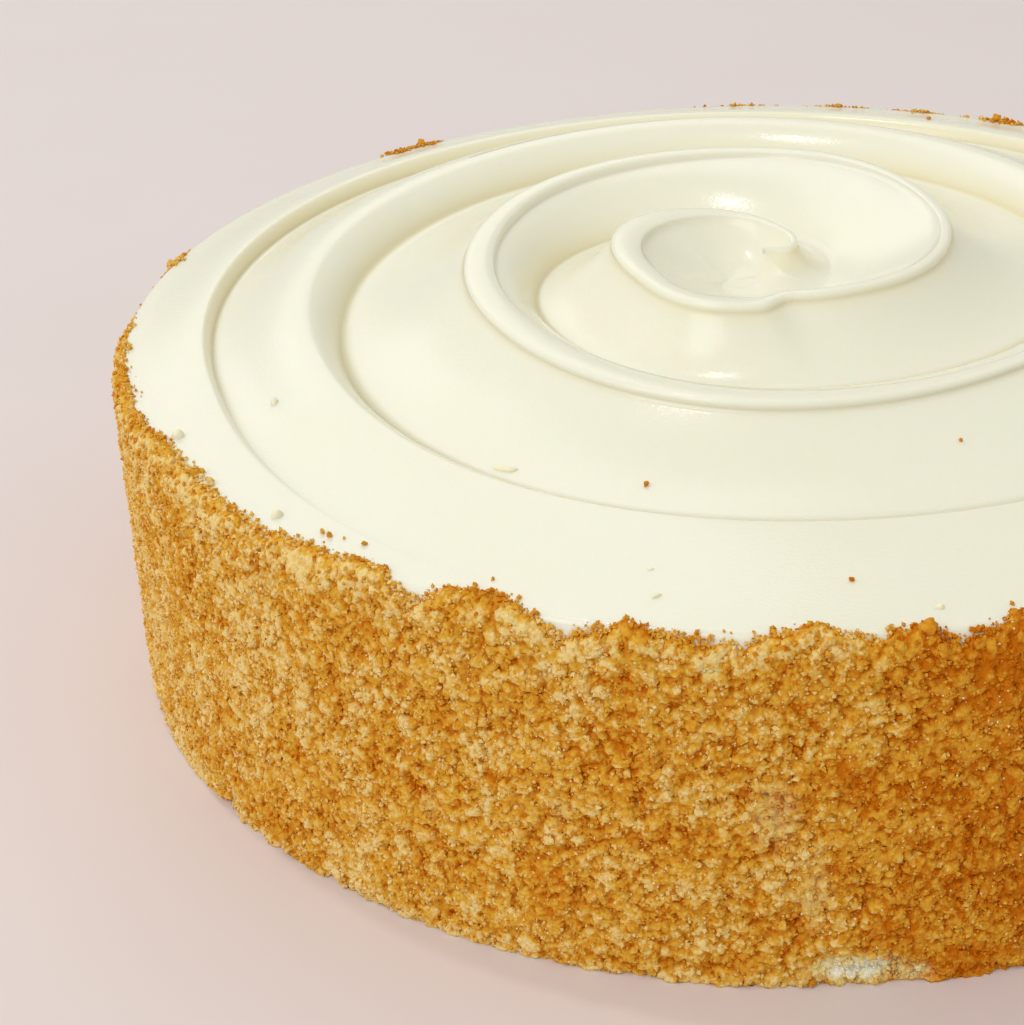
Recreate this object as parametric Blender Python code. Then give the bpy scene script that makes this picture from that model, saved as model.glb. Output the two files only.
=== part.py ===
"""Baked cheesecake, whole and uncut: a cream-covered round cake whose top is spread in one spiral, with a
coat of toasted crumbs round its side. Metres, Z up, standing on z = 0 about the Z axis."""

import math

import bmesh
import bpy
import numpy as np
from mathutils import Vector, noise

MM = 0.001
COLLECTION = "baked_cheesecake"
WELD = 0.02 * MM

# Cake body, in millimetres
RIM_HEIGHT = 50.5
RIM_RADIUS = 96.4
WALL_RADIUS = 97.6
# Rounded edge from the top of the cream to the wall: (radius, depth below the rim)
RIM_ROUNDING = ((97.1, 0.4), (97.45, 1.2), (WALL_RADIUS, 2.4))

# The spiral, followed clockwise and inwards seen from above, in turns from START_ANGLE
START_ANGLE = math.radians(245)
SEGMENTS_PER_TURN = 60
# The spiral winds to this centre, reached gradually between the two turns
SWIRL_CENTRE = Vector((-5.0, -2.0))
DRIFT_START = 1.2
DRIFT_END = 3.0
# Foot of the groove: (turn, radius, height above the rim)
GROOVE = (
    (-0.10, RIM_RADIUS, 0.0),
    (0.00, 91.5, 0.0),
    (0.12, 84.0, 0.0),
    (0.28, 84.8, 0.0),
    (0.60, 80.5, 0.3),
    (0.90, 71.1, 0.0),
    (1.00, 70.2, 0.0),
    (1.15, 64.4, 0.2),
    (1.35, 63.0, 1.2),
    (1.60, 51.5, 2.2),
    (1.85, 38.6, 2.4),
    (2.05, 33.3, 2.2),
    (2.25, 30.0, 2.6),
    (2.45, 22.0, 4.2),
    (2.75, 12.0, 5.0),
    (3.05, 0.0, 4.2),
)
# Lip of the ridge that stands outside the groove: (turn, radius, height above the rim)
LIP = (
    (0.00, 91.5, 0.0),
    (0.12, 85.4, 1.5),
    (0.28, 87.0, 2.0),
    (0.60, 82.3, 1.8),
    (0.90, 72.6, 1.0),
    (1.00, 72.2, 2.6),
    (1.12, 69.8, 4.2),
    (1.25, 70.6, 5.2),
    (1.42, 69.5, 6.5),
    (1.58, 60.5, 6.6),
    (1.80, 50.5, 6.3),
    (1.95, 48.4, 6.8),
    (2.10, 43.8, 9.0),
    (2.25, 41.0, 10.8),
    (2.46, 41.0, 11.4),
    (2.60, 34.8, 11.6),
    (2.75, 30.0, 11.4),
    (2.86, 24.0, 11.0),
    (2.94, 24.6, 11.0),
    (3.05, 19.8, 11.4),
    (3.25, 17.0, 11.5),
    (3.45, 11.8, 10.8),
    (3.66, 10.4, 9.8),
    (3.76, 7.0, 8.4),
    (3.86, 3.0, 5.2),
    (4.05, 0.0, 4.2),
)
# Shares of the way from a groove up to the next lip, and from that lip down to its own groove
RISING_SHARES = (0.0, 0.3, 0.6, 0.85, 1.0)
FALLING_SHARES = (0.2, 0.55, 1.0)
RISING_POWER = 1.8
FALLING_POWER = 1.5

# Crumb coat, in millimetres
COAT_GAP = 0.3
COAT_RADIUS = 99.2
COAT_RELIEF = 0.8
COAT_EDGE = 50.2
COAT_EDGE_RELIEF = 1.6
COAT_SEGMENTS = 150
COAT_LEVELS = (0.0, 0.2, 0.4, 0.6, 0.8, 0.97)
# Size of the unevenness, as noise cycles per millimetre
RELIEF_SCALE = 0.09
EDGE_SCALE = 0.12


def clamp(value, low, high):
    return min(max(value, low), high)


def smooth_through(keys, column, turn):
    """The value at this turn on a smooth line through one column of the keys."""
    turns = np.array([key[0] for key in keys])
    values = np.array([key[column] for key in keys])
    slopes = np.gradient(values, turns)
    turn = clamp(turn, turns[0], turns[-1])
    left = min(int(np.searchsorted(turns, turn, side="right")) - 1, len(turns) - 2)
    width = turns[left + 1] - turns[left]
    share = (turn - turns[left]) / width
    value = values[left] * (1 + 2 * share) * (1 - share) ** 2
    value += values[left + 1] * share**2 * (3 - 2 * share)
    value += width * slopes[left] * share * (1 - share) ** 2
    value -= width * slopes[left + 1] * share**2 * (1 - share)
    return float(value)


def groove(turn):
    """(radius, height) of the groove's foot, which starts at the rim and ends at the swirl's centre."""
    if turn <= GROOVE[0][0] or turn >= GROOVE[-1][0]:
        return (GROOVE[0] if turn <= GROOVE[0][0] else GROOVE[-1])[1:]
    return max(smooth_through(GROOVE, 1, turn), 0.0), smooth_through(GROOVE, 2, turn)


def lip(turn):
    if turn <= LIP[0][0]:
        return groove(turn)
    return max(smooth_through(LIP, 1, turn), 0.0), smooth_through(LIP, 2, turn)


def centre(turn):
    share = clamp((turn - DRIFT_START) / (DRIFT_END - DRIFT_START), 0, 1)
    return SWIRL_CENTRE * share * share * (3 - 2 * share)


def top_point(middle, angle, radius, height):
    x = middle.x + radius * math.cos(angle)
    y = middle.y + radius * math.sin(angle)
    return Vector((x, y, RIM_HEIGHT + height)) * MM


def ridge_section(turn):
    """The points across one ridge, from this groove over its lip to the groove one turn further in."""
    angle = START_ANGLE - math.tau * turn
    outer_radius, outer_height = groove(turn)
    inner_radius, inner_height = groove(turn + 1)
    lip_radius, lip_height = lip(turn + 1)
    lip_radius = clamp(lip_radius, inner_radius, outer_radius)
    outer_middle, inner_middle = centre(turn), centre(turn + 1)
    points = []
    for share in RISING_SHARES:
        middle = outer_middle.lerp(inner_middle, share)
        radius = outer_radius + (lip_radius - outer_radius) * share
        height = outer_height + (lip_height - outer_height) * share**RISING_POWER
        points.append(top_point(middle, angle, radius, height))
    for share in FALLING_SHARES:
        radius = lip_radius + (inner_radius - lip_radius) * share
        height = inner_height + (lip_height - inner_height) * (1 - share) ** FALLING_POWER
        points.append(top_point(inner_middle, angle, radius, height))
    return points


def wrapped_grid(bm, sections):
    """A flat grid with each of its rows moved onto one section, welded where the sections meet."""
    rows, columns = len(sections) - 1, len(sections[0]) - 1
    grid = bmesh.ops.create_grid(bm, x_segments=columns, y_segments=rows, size=0.5)
    for vert in grid["verts"]:
        column = round((vert.co.x + 0.5) * columns)
        row = round((vert.co.y + 0.5) * rows)
        vert.co = sections[row][column]
    bmesh.ops.remove_doubles(bm, verts=bm.verts, dist=WELD)


def place(bm, name, material, collection):
    bmesh.ops.recalc_face_normals(bm, faces=bm.faces)
    mesh = bpy.data.meshes.new(name)
    bm.to_mesh(mesh)
    bm.free()
    mesh.shade_smooth()
    mesh.materials.append(material)
    made = bpy.data.objects.new(name, mesh)
    collection.objects.link(made)
    return made


def principled(name, colour, roughness):
    material = bpy.data.materials.new(name)
    material.use_nodes = True
    shader = material.node_tree.nodes["Principled BSDF"]
    shader.inputs["Base Color"].default_value = (*colour, 1)
    shader.inputs["Roughness"].default_value = roughness
    material.diffuse_color = (*colour, 1)
    return material


def make_cream(collection):
    """The whole cream-covered cake: the spiral top, then its outline extruded over the rim and down."""
    bm = bmesh.new()
    steps = round((GROOVE[-1][0] - GROOVE[0][0] + 1) * SEGMENTS_PER_TURN)
    turns = [GROOVE[-1][0] - step / SEGMENTS_PER_TURN for step in range(steps + 1)]
    wrapped_grid(bm, [ridge_section(turn) for turn in turns])
    outline = [edge for edge in bm.edges if edge.is_boundary]
    levels = [(radius, RIM_HEIGHT - depth) for radius, depth in RIM_ROUNDING]
    for radius, height in (*levels, (WALL_RADIUS, RIM_HEIGHT / 2), (WALL_RADIUS, 0.0)):
        extruded = bmesh.ops.extrude_edge_only(bm, edges=outline)["geom"]
        for vert in (item for item in extruded if isinstance(item, bmesh.types.BMVert)):
            flat = vert.co.xy.normalized() * radius * MM
            vert.co = (flat.x, flat.y, height * MM)
        outline = [item for item in extruded if isinstance(item, bmesh.types.BMEdge)]
    bmesh.ops.contextual_create(bm, geom=outline)
    place(bm, "cream_cake", principled("cream", (0.88, 0.84, 0.68), 0.28), collection)


def coat_section(angle):
    """The closed outline of the coat at this angle, from its foot up the outside and down the inside."""
    around = Vector((math.cos(angle), math.sin(angle), 0))
    inner = WALL_RADIUS + COAT_GAP
    edge = COAT_EDGE + COAT_EDGE_RELIEF * noise.noise(around * WALL_RADIUS * EDGE_SCALE)
    section = []
    for level in COAT_LEVELS:
        where = around * COAT_RADIUS + Vector((0, 0, edge * level))
        radius = COAT_RADIUS + COAT_RELIEF * noise.noise(where * RELIEF_SCALE)
        section.append((radius, edge * level))
    section += [((COAT_RADIUS + inner) / 2, edge), (inner, edge - 0.5), (inner, edge / 2), (inner, 0), section[0]]
    return [(around * radius + Vector((0, 0, height))) * MM for radius, height in section]


def make_coat(collection):
    bm = bmesh.new()
    steps = range(COAT_SEGMENTS + 1)
    wrapped_grid(bm, [coat_section(math.tau * (step % COAT_SEGMENTS) / COAT_SEGMENTS) for step in steps])
    place(bm, "crumb_coat", principled("toasted crumb", (0.55, 0.3, 0.11), 0.85), collection)


for leftover in list(bpy.data.objects):
    bpy.data.objects.remove(leftover)
parts = bpy.data.collections.new(COLLECTION)
bpy.context.scene.collection.children.link(parts)
make_cream(parts)
make_coat(parts)
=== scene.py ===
# %% [markdown]
# # A baked cheesecake with a swirled cream top
# The cake is one tall round of cheesecake, covered in ivory cream. The top was spread on a turntable in one
# pass of a palette knife, so it is a single spiral of soft ridges, and the side was coated by hand in toasted
# crumbs. This lesson builds it in that order: the light to judge it by, the cream, the coat of crumbs, and
# last the few drops and loose crumbs that make it look handled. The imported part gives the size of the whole.

# %% Load the frame
import math

import bmesh
import bpy
import numpy as np
from mathutils import Matrix, Vector, noise


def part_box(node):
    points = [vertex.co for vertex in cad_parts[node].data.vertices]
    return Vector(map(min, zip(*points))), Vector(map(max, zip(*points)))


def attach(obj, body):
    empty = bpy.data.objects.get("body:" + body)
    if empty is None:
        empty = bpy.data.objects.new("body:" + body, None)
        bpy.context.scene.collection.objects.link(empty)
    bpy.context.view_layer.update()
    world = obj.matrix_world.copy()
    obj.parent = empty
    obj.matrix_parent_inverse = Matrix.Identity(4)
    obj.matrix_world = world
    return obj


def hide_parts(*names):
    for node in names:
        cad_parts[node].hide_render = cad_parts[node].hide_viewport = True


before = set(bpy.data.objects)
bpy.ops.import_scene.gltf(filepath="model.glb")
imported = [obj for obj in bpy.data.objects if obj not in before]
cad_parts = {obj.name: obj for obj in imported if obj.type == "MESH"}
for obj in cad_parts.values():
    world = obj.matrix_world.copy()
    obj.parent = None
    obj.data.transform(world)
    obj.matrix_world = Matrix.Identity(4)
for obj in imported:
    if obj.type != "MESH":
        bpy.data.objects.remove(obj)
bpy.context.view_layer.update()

MM = 0.001
scene = bpy.context.scene
cream_low, cream_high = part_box("cream_cake")
coat_low, coat_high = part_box("crumb_coat")
WALL_RADIUS = (cream_high.x - cream_low.x) / 2 / MM
COAT_RADIUS = min(coat_high.x, coat_high.y, -coat_low.x, -coat_low.y) / MM
print(f"cream {2 * WALL_RADIUS:.1f} mm wide, coat {2 * COAT_RADIUS:.1f} mm wide, {cream_high.z / MM:.1f} mm high")

# %% [markdown]
# ## Working by hand, in code
# Operators act on whatever is selected, so every step starts from an empty selection and selects its own
# faces or edges by a rule. These helpers keep the steps short: open a piece for editing, select by place,
# apply its modifiers in order, and hand the finished piece to the frame with its place in its mesh.


# %% Helpers for editing
def only(piece):
    """Make this piece the one selected and active object."""
    if bpy.context.object and bpy.context.object.mode != "OBJECT":
        bpy.ops.object.mode_set(mode="OBJECT")
    bpy.ops.object.select_all(action="DESELECT")
    piece.select_set(True)
    bpy.context.view_layer.objects.active = piece


def start(name, add, **settings):
    """Add a primitive with nothing else selected, and name it."""
    bpy.ops.object.select_all(action="DESELECT")
    add(**settings)
    piece = bpy.context.object
    piece.name = name
    piece.data.name = name
    return piece


def edit(piece, kind="VERT"):
    """Open a piece for editing, by its vertices, edges or faces, with nothing selected."""
    only(piece)
    bpy.ops.object.mode_set(mode="EDIT")
    bpy.ops.mesh.select_mode(type=kind)
    bpy.ops.mesh.select_all(action="DESELECT")


def done():
    """Leave edit mode."""
    bpy.ops.object.mode_set(mode="OBJECT")


def pick(piece, rule):
    """In edit mode, select the vertices, edges or faces that the rule accepts."""
    bpy.ops.mesh.select_all(action="DESELECT")
    bm = bmesh.from_edit_mesh(piece.data)
    kind = bpy.context.tool_settings.mesh_select_mode
    items = bm.verts if kind[0] else bm.edges if kind[1] else bm.faces
    for item in items:
        if rule(item):
            item.select_set(True)
    bm.select_flush_mode()
    bmesh.update_edit_mesh(piece.data)


def modify(piece, kind, **settings):
    """Add a modifier and apply it at once."""
    only(piece)
    modifier = piece.modifiers.new(kind.title(), kind)
    for key, value in settings.items():
        setattr(modifier, key, value)
    bpy.ops.object.modifier_apply(modifier=modifier.name)


def points_of(piece):
    """Every point of a mesh in metres, one row each."""
    flat = np.empty(len(piece.data.vertices) * 3)
    piece.data.vertices.foreach_get("co", flat)
    return flat.reshape(-1, 3)


def faces_of(piece):
    """The numbers of each face's points, for a mesh whose faces all have as many."""
    return np.array([face.vertices[:] for face in piece.data.polygons])


def move_points(piece, points):
    piece.data.vertices.foreach_set("co", points.ravel())
    piece.data.update()


def face_outwards(piece):
    edit(piece)
    bpy.ops.mesh.select_all(action="SELECT")
    bpy.ops.mesh.normals_make_consistent(inside=False)
    done()


def triangles(piece):
    """How many triangles a piece's faces make."""
    return sum(len(face.vertices) - 2 for face in piece.data.polygons)


def settle(piece, material, node=None, slot=None, smooth=True):
    """Give a finished piece its material and hand it to the frame."""
    piece.data.materials.clear()
    piece.data.materials.append(material)
    if smooth:
        piece.data.shade_smooth()
    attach(piece, "root")
    if node:
        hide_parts(node)
    print(f"{piece.name}: {triangles(piece)} triangles")


# %% [markdown]
# ## Camera
# The cake is seen from a little above, close enough that its right side leaves the frame. The camera's place
# is told in radii of the rim, because that is what an eye compares it with. It looks down by 28 degrees and
# leans a little, as a camera held in the hand does.

# %% Camera
RIM_RADIUS = 97.0
CAMERA_BACK = 3.1437 * RIM_RADIUS
CAMERA_UP = 1.8464 * RIM_RADIUS
YAW = math.radians(-7.47)
PITCH = math.radians(28.40)
ROLL = math.radians(-2.51)

forward = Vector((math.sin(YAW) * math.cos(PITCH), math.cos(YAW) * math.cos(PITCH), -math.sin(PITCH)))
level = Vector((math.cos(YAW), -math.sin(YAW), 0))
upright = level.cross(forward)
across = math.cos(ROLL) * level + math.sin(ROLL) * upright
above = math.cos(ROLL) * upright - math.sin(ROLL) * level
turned = Matrix((across, above, -forward)).transposed().to_4x4()
camera = bpy.data.objects.new("camera", bpy.data.cameras.new("camera"))
camera.data.lens = 75
camera.data.sensor_width = 36
camera.data.clip_start = 0.01
camera.matrix_world = Matrix.Translation(Vector((0, -CAMERA_BACK, CAMERA_UP)) * MM) @ turned
scene.collection.objects.link(camera)
scene.camera = camera
print("camera at", [round(value, 3) for value in camera.location])

# %% [markdown]
# ## Light and floor
# Pale cream only shows its ridges if the light has a direction, so the widest and brightest panel stands in
# front on the left: it leaves a soft shade on every slope that falls away from it. Two dimmer panels, one on
# the left and one behind, and an even sky fill the shade. A small lamp almost overhead adds the few bright
# glints of a moist surface. Area lamps are used because their shade has a soft edge, as a window's has.

# %% Lamps, sky and floor
LAMP_DISTANCE = 1.8
# (name, bearing and height in degrees, width in metres, power in watts, colour)
LAMPS = (
    ("glint_lamp", 150, 78, 0.08, 3.0, (1.0, 0.97, 0.93)),
    ("front_panel", 236, 44, 1.1, 10.8, (0.94, 0.965, 1.0)),
    ("left_panel", 180, 36, 1.1, 1.4, (0.97, 0.98, 1.0)),
    ("back_panel", 110, 38, 1.1, 3.8, (1.0, 0.99, 0.97)),
)
SKY_COLOUR = (0.97, 0.985, 0.90, 1)
SKY_STRENGTH = 0.57

for name, azimuth, elevation, size, power, colour in LAMPS:
    panel = bpy.data.lights.new(name, "AREA")
    panel.size = size
    panel.energy = power
    panel.color = colour
    holder = bpy.data.objects.new(name, panel)
    bearing, rise = math.radians(azimuth), math.radians(elevation)
    way = Vector((math.cos(bearing) * math.cos(rise), math.sin(bearing) * math.cos(rise), math.sin(rise)))
    holder.location = way * LAMP_DISTANCE + Vector((0, 0, cream_high.z / 2))
    holder.rotation_euler = way.to_track_quat("Z", "Y").to_euler()
    scene.collection.objects.link(holder)

sky = bpy.data.worlds.new("sky")
sky.use_nodes = True
background = sky.node_tree.nodes["Background"]
background.inputs["Color"].default_value = SKY_COLOUR
background.inputs["Strength"].default_value = SKY_STRENGTH
scene.world = sky
scene.view_settings.view_transform = "Standard"

floor = start("floor", bpy.ops.mesh.primitive_plane_add, size=6)

# %% [markdown]
# ## Shader maths
# A material is easier to read as a sum than as a web of nodes. A small class wraps one socket, so that
# `dust * 0.3 + 0.1` adds the Math nodes by itself. Colours go through Mix nodes, because a Math node would
# turn them grey. Every other node comes from one method.


# %% A class for sockets
class Link:
    """One output socket, with the arithmetic that a shader needs."""

    def __init__(self, finish, socket):
        self.finish = finish
        self.socket = socket

    def _math(self, operation, *values):
        return self.finish.node("ShaderNodeMath", {"operation": operation}, dict(enumerate(values)))

    def __add__(self, other):
        return self._math("ADD", self, other)

    def __radd__(self, other):
        return self._math("ADD", other, self)

    def __sub__(self, other):
        return self._math("SUBTRACT", self, other)

    def __rsub__(self, other):
        return self._math("SUBTRACT", other, self)

    def __mul__(self, other):
        return self._math("MULTIPLY", self, other)

    def __rmul__(self, other):
        return self._math("MULTIPLY", other, self)

    def between(self, low, high):
        """0 below low, 1 above high, and a straight rise between them."""
        ends = {"Value": self, "From Min": low, "From Max": high}
        return self.finish.node("ShaderNodeMapRange", {"clamp": True}, ends)

    def tint(self, colour, other):
        """From this colour at 0 to the other at 1."""
        settings = {"data_type": "RGBA"}
        return self.finish.node("ShaderNodeMix", settings, {0: self, 6: colour, 7: other}, output=2)


class Finish:
    """A Principled material built up node by node."""

    def __init__(self, name):
        self.material = bpy.data.materials.new(name)
        self.material.use_nodes = True
        self.nodes = self.material.node_tree.nodes
        self.shader = self.nodes["Principled BSDF"]
        self.place = self.node("ShaderNodeTexCoord", {}, {}, output="Object")

    def node(self, kind, settings, inputs, output=0):
        made = self.nodes.new(kind)
        for key, value in settings.items():
            setattr(made, key, value)
        for key, value in inputs.items():
            self.feed(made.inputs[key], value)
        return Link(self, made.outputs[output])

    def feed(self, socket, value):
        if isinstance(value, Link):
            self.material.node_tree.links.new(value.socket, socket)
        elif isinstance(value, tuple) and len(value) == 3 and socket.type == "RGBA":
            socket.default_value = (*value, 1)
        else:
            socket.default_value = value

    def speckle(self, size, detail, roughness=0.5):
        """Soft noise whose blotches are about this many millimetres across, from 0 to 1."""
        inputs = {"Vector": self.place, "Scale": 1 / (size * MM), "Detail": detail, "Roughness": roughness}
        return self.node("ShaderNodeTexNoise", {}, inputs)

    def noted(self, name):
        """A value that the points of the mesh carry."""
        return self.node("ShaderNodeAttribute", {"attribute_name": name}, {}, output=2)

    def set(self, **values):
        for key, value in values.items():
            self.feed(self.shader.inputs[key.replace("_", " ")], value)

    def bump(self, height, depth):
        """A dent pattern this many millimetres deep."""
        return self.node("ShaderNodeBump", {}, {"Height": height, "Distance": depth * MM})


# %% [markdown]
# ## The swirl
# Turning the cake under a palette knife leaves one long ridge that winds inwards, each turn a little higher
# than the last, and ends in a thin curl where the knife was lifted. It could be sculpted, or a disc could be
# pushed up by a height map, but neither keeps a lip that leans over its slope. So the top is one strip: a
# flat grid whose rows are wrapped round the spiral. Each row runs from the groove, up a hollow slope to the
# lip of the next ridge, over the lip and down to the groove one turn further in. The route of the groove
# and the lip are a few listed sizes in millimetres, and a smooth line is drawn through them.

# %% Route of the groove and the lip
START_ANGLE = math.radians(245)
SWIRL_CENTRE = np.array((-5.0, -2.0))
DRIFT_START, DRIFT_END = 1.2, 3.0
EDGE_RADIUS = WALL_RADIUS - 1.2
TOP_LIP = 11.6
RIM_HEIGHT = cream_high.z / MM - TOP_LIP
# (turns inwards, radius, height above the rim)
GROOVE = (
    (-0.10, EDGE_RADIUS, 0.0), (0.00, 91.5, 0.0), (0.12, 84.0, 0.0), (0.28, 84.8, 0.0), (0.60, 80.5, 0.3),
    (0.90, 71.1, 0.0), (1.00, 70.2, 0.0), (1.15, 64.4, 0.2), (1.35, 63.0, 1.2), (1.60, 51.5, 2.2),
    (1.85, 38.6, 2.4), (2.05, 33.3, 2.2), (2.25, 30.0, 2.6), (2.45, 22.0, 4.2), (2.75, 12.0, 4.4),
    (3.05, 0.0, 4.2),
)
# (turns inwards, radius, height above the rim, width of the top, drop at its inner edge)
LIP = (
    (-0.02, 93.0, 0.0, 0.0, 0.0),
    (0.04, 89.4, 0.08, 0.0, 0.0),
    (0.08, 87.2, 0.45, 0.0, 0.0),
    (0.12, 85.5, 1.25, 0.0, 0.0),
    (0.17, 85.4, 2.0, 0.0, 0.0),
    (0.28, 86.8, 2.2, 0.0, 0.0),
    (0.60, 82.3, 1.8, 0.0, 0.0),
    (0.90, 72.6, 1.0, 0.0, 0.0),
    (1.00, 72.4, 1.8, 0.0, 0.0),
    (1.12, 70.6, 4.0, 0.4, 0.0),
    (1.25, 71.4, 5.2, 0.6, 0.0),
    (1.42, 69.8, 6.5, 0.6, 0.0),
    (1.58, 60.5, 6.6, 1.0, 0.0),
    (1.80, 50.5, 6.3, 2.0, 0.3),
    (1.95, 48.6, 6.8, 4.6, 0.4),
    (2.10, 43.8, 9.0, 4.0, 0.8),
    (2.25, 41.0, 10.8, 2.2, 1.4),
    (2.46, 41.0, 11.4, 1.4, 0.7),
    (2.60, 34.8, 11.6, 0.9, 0.3),
    (2.75, 30.0, 11.4, 0.8, 0.2),
    (2.84, 25.0, 11.2, 0.8, 0.2),
    (2.872, 23.4, 11.0, 0.8, 0.2),
    (2.90, 25.3, 10.8, 2.4, 0.5),
    (2.94, 25.4, 11.0, 3.0, 0.6),
    (3.05, 19.8, 11.4, 3.0, 0.7),
    (3.25, 17.0, 11.5, 3.8, 0.8),
    (3.45, 13.4, 10.4, 1.4, 0.3),
    (3.54, 12.0, 9.9, 0.8, 0.2),
    (3.61, 11.3, 9.6, 0.5, 0.1),
    (3.645, 10.3, 9.4, 0.4, 0.1),
    (3.668, 8.4, 9.3, 0.3, 0.1),
    (3.680, 5.6, 9.1, 0.2, 0.0),
    (3.688, 5.0, 8.6, 0.1, 0.0),
    (3.702, 5.0, 5.2, 0.0, 0.0),
    (3.75, 4.8, 4.4, 0.0, 0.0),
    (4.05, 0.0, 4.2, 0.0, 0.0),
)
# (turns inwards, 1 for a lip rounded over softly, 0 for a lip with a crisp nose)
SOFT = ((0, 1), (1.3, 1), (1.6, 0.7), (1.85, 0.1), (1.95, 0), (4.1, 0))
# (turns inwards, how late the hollow slope steepens)
HOLLOW = ((0, 1.7), (1.9, 1.9), (2.3, 1.9), (2.6, 2.0), (2.95, 1.7), (3.2, 1.7), (3.5, 2.1), (4.1, 2.2))
# (turns inwards, 0 for a shoulder that drops off at the groove, 1 for the inside of a bowl)
BOWL = (
    (0, 0), (1.6, 0), (1.85, 0.3), (2.0, 0.5), (2.1, 0.1), (2.3, 0.1), (2.43, 0), (2.56, 0), (2.72, 0.8),
    (4.1, 1.0),
)
# (turns inwards, how fast the inside of the bowl drops below its lip)
INSIDE = ((0, 1.6), (3.3, 1.6), (3.45, 2.4), (3.55, 3.8), (3.62, 5.5), (3.675, 8.0), (4.1, 8.0))


def smooth_through(keys, column, turns):
    """The values at these turns on a smooth line through one column of the keys."""
    knots = np.array([key[0] for key in keys])
    values = np.array([key[column] for key in keys])
    steepness = np.diff(values) / np.diff(knots)
    most = 3 * np.minimum(abs(np.append(steepness, steepness[-1])), abs(np.insert(steepness, 0, steepness[0])))
    slopes = np.clip(np.gradient(values, knots), -most, most)
    turns = np.clip(turns, knots[0], knots[-1])
    left = np.clip(np.searchsorted(knots, turns, side="right") - 1, 0, len(knots) - 2)
    width = knots[left + 1] - knots[left]
    share = (turns - knots[left]) / width
    level = values[left] * (1 + 2 * share) * (1 - share) ** 2 + values[left + 1] * share**2 * (3 - 2 * share)
    return level + width * share * (1 - share) * (slopes[left] * (1 - share) - slopes[left + 1] * share)


print(f"the spiral winds {LIP[-1][0]} turns and rises {TOP_LIP} mm above the rim")

# %% [markdown]
# ## Across one ridge
# The hollow slope starts flat in the groove and steepens towards the lip, as cream does when a knife pushes
# it aside. The lip itself is a small round nose that leans out a little over its slope, then a narrow
# rounded top, and the inner side falls away like the inside of a bowl. Towards the end of the curl the
# inside drops ever more steeply, and behind the tip it stands upright, where the knife tore free. Each part
# of the section has a set number of points, so every row has as many and the rows join up.

# %% Section of the ridge
RISE_STEPS, NOSE_STEPS, TOP_STEPS, SHOULDER_STEPS, FALL_STEPS = 16, 6, 3, 3, 12
RISE_EASE, FALL_EASE = 0.8, 1.25
NOSE_SHARE, NOSE_MOST = 0.14, 0.8
NOSE_LEAN = math.radians(-30)
NOSE_FADES, NOSE_ENDS = 3.67, 3.69
TOP_SAG = 0.10
TIP_STARTS, TIP_BLEND = 3.45, 0.07


def keyed(keys, turns):
    """The values at these turns on straight lines through the keys."""
    return np.interp(turns, *np.array(keys).T)


def between(values, low, high):
    """0 at low and 1 at high, with a straight line between them. Low may be the larger of the two."""
    return np.clip((values - low) / (high - low), 0, 1)


def eased(share):
    """The share again, but with a gentle start and end."""
    return share * share * (3 - 2 * share)


def tip_drop(lip_turns, lip_height):
    """How much higher than its lip the slope under the tip is, where the lip falls away too fast for it."""
    nearby = lip_turns + np.linspace(-TIP_BLEND, TIP_BLEND, 9)[:, None]
    below_tip = np.mean([smooth_through(LIP, 2, near) for near in nearby], axis=0)
    return np.where(lip_turns > TIP_STARTS, below_tip - lip_height, 0.0)


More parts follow.
